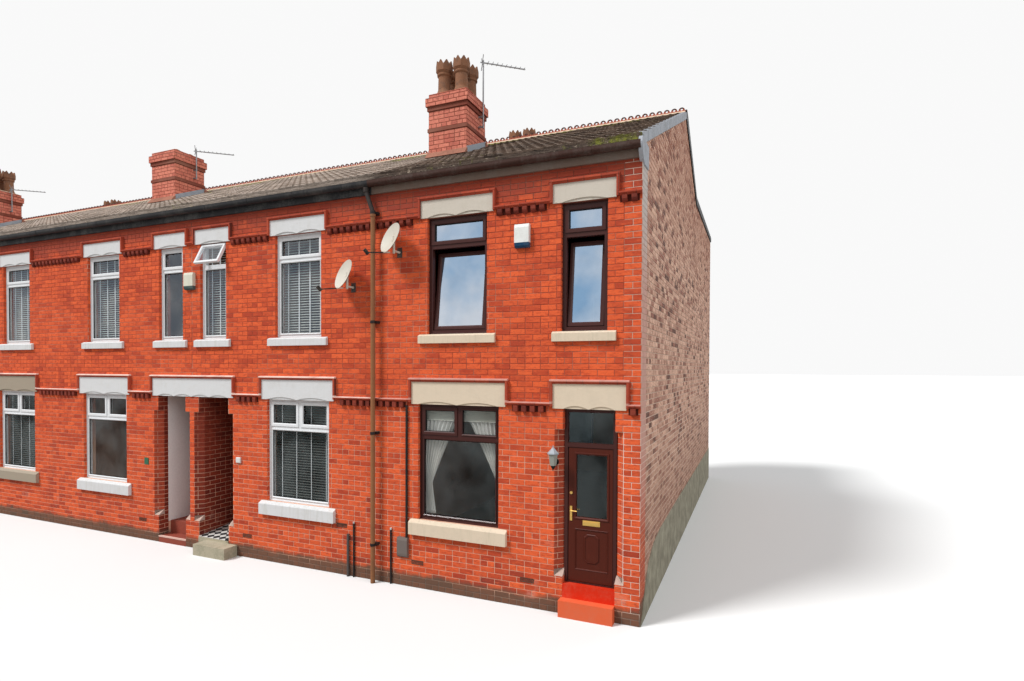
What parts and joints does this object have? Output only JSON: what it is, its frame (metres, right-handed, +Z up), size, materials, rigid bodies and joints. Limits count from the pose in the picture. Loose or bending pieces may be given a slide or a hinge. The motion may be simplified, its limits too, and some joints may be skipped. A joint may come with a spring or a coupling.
{
  "type": "terraced house row",
  "caption": "Two-storey brick terrace with paired recessed porches, stone lintels, tiled roof, chimneys and a hinged end-house front door.",
  "frame": {"origin": "ground level at the middle of the row, under the ridge", "axes": "+X along the row towards the gable beside the opening front door, +Y from the street front to the back, +Z up"},
  "size_m": [25.06, 12.181, 9.7269],
  "materials": {
    "brick_common": "rough common brick, matt",
    "brick_red": "fair-faced pressed brick, matt",
    "timber": "planed softwood",
    "stone_step": "worn flagstone and tiles",
    "slate": "small weathered plain tiles, matt",
    "terracotta": "fired clay, matt",
    "lead": "weathered sheet lead",
    "painted_stone": "masonry paint, satin",
    "step_red": "red step paint, satin",
    "black_plastic": "black rainwater goods",
    "pipe": "old brown paint, rusty",
    "brown_plastic": "dark rosewood plastic",
    "white_plastic": "white window plastic",
    "glass": "clear sealed glazing",
    "brass": "polished brass",
    "fitting": "moulded plastic boxes",
    "grey_metal": "weathered aluminium"
  },
  "bodies": {
    "row": {"party_walls": "brick_common", "gable_wall": "brick_common", "left_end_wall": "brick_common", "front_wall_1": "brick_red", "front_wall_1_upper": "brick_red", "door_piers": "brick_red", "front_wall_2": "brick_red", "front_wall_3": "brick_red", "front_wall_4": "brick_red", "front_wall_5": "brick_red", "front_wall_6": "brick_red", "rear_walls": "brick_common", "wing_side_walls": "brick_common", "wing_end_walls": "brick_common", "ground_floor": "timber", "ground_floor_front": "timber", "first_floor": "timber", "wing_floors": "timber", "porch_piers": "brick_red", "porch_walls": "brick_red", "porch_floors": "stone_step", "porch_doors": "timber", "roof_front": "slate", "roof_rear": "slate", "wing_roofs": "slate", "ridge": "terracotta", "chimney_stacks": "brick_red", "chimney_pots": "terracotta", "flashings": "lead", "lintels": "painted_stone", "sills": "painted_stone", "mouldings": "brick_red", "steps": "step_red", "fascia": "black_plastic", "gutter": "black_plastic", "downpipes": "pipe", "frames_brown": "brown_plastic", "frames_white": "white_plastic", "frames_rear": "white_plastic", "glazing": "glass", "tilted_sashes": "brown_plastic", "fanlight": "white_plastic", "rear_doors": "timber", "door_frame": "brown_plastic", "wall_fittings": "fitting", "dishes": "grey_metal", "aerials": "grey_metal"},
    "front_door": {"front_door": "brown_plastic", "door_glass": "glass", "door_furniture": "brass"}
  },
  "joints": [
    {"name": "front_door_hinge", "type": "hinge", "parent": "row", "child": "front_door", "pos_m": [12.144, -4.576, 1.385], "axis": [0, 0, -1], "range_deg": [0, 88]}
  ]
}
